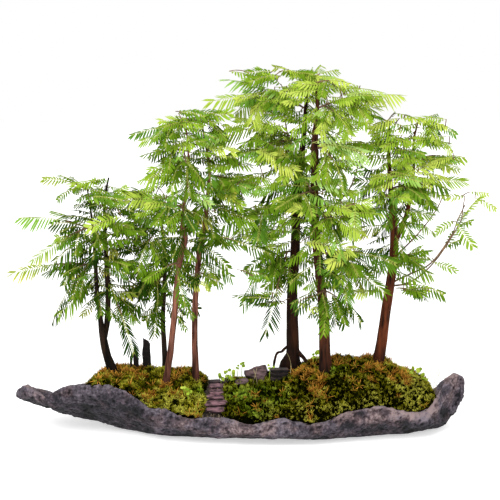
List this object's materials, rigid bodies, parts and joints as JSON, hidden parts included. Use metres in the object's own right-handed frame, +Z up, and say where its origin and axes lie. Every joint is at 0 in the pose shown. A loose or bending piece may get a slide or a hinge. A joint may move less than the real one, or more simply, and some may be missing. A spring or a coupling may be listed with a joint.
{
  "type": "dawn redwood bonsai forest",
  "caption": "Dawn redwood bonsai forest: slender trees with feathery fronds in mossy mounds, with a slate path, on a long rock-like slab tray.",
  "frame": {"origin": "middle of the tray's flat foot, on the surface that it stands on", "axes": "+X along the tray to the right of someone looking at its front, +Y from the front to the back, +Z up"},
  "size_m": [0.7159, 0.22, 0.551],
  "materials": {
    "rock": "rough, pitted, dark grey with paler worn patches",
    "soil": "dull granular",
    "moss": "soft, velvety",
    "slate": "split, matt",
    "bark": "fibrous, matt",
    "frond": "soft, slightly translucent"
  },
  "bodies": {
    "root": {"tray": "rock", "soil": "soil", "moss_left": "moss", "moss_right": "moss", "stepping_stone_1": "slate", "stepping_stone_2": "slate", "stepping_stone_3": "slate", "stepping_stone_4": "slate", "stepping_stone_5": "slate", "slate_1": "slate", "slate_2": "slate", "slate_3": "slate", "shard_1": "slate", "shard_2": "slate", "shard_3": "slate", "trunk_a": "bark", "trunk_b": "bark", "trunk_c": "bark", "trunk_d": "bark", "trunk_e": "bark", "trunk_f": "bark", "trunk_g": "bark", "limb_a_crown": "frond", "limb_a_left_high": "frond", "limb_a_left_low": "frond", "limb_a_right_high": "frond", "limb_a_right_low": "frond", "limb_b_crown": "frond", "limb_b_left": "frond", "limb_b_low": "frond", "limb_b_back": "frond", "limb_c_crown": "frond", "limb_c_high": "frond", "limb_c_middle": "frond", "limb_c_low": "frond", "limb_d_crown": "frond", "limb_d_middle": "frond", "limb_d_low": "frond", "limb_d_front": "frond", "limb_e_crown": "frond", "limb_e_high": "frond", "limb_e_left": "frond", "limb_e_front": "frond", "limb_e_middle": "frond", "limb_e_low": "frond", "limb_e_back": "frond", "limb_f_crown": "frond", "limb_f_high": "frond", "limb_f_upper": "frond", "limb_f_left": "frond", "limb_f_middle": "frond", "limb_f_low": "frond", "limb_f_hanging": "frond", "limb_g_crown": "frond", "limb_g_left": "frond", "limb_g_front": "frond", "limb_g_middle": "frond", "limb_g_right_crown": "frond", "limb_g_right_high": "frond", "limb_g_long": "frond"}
  },
  "joints": []
}
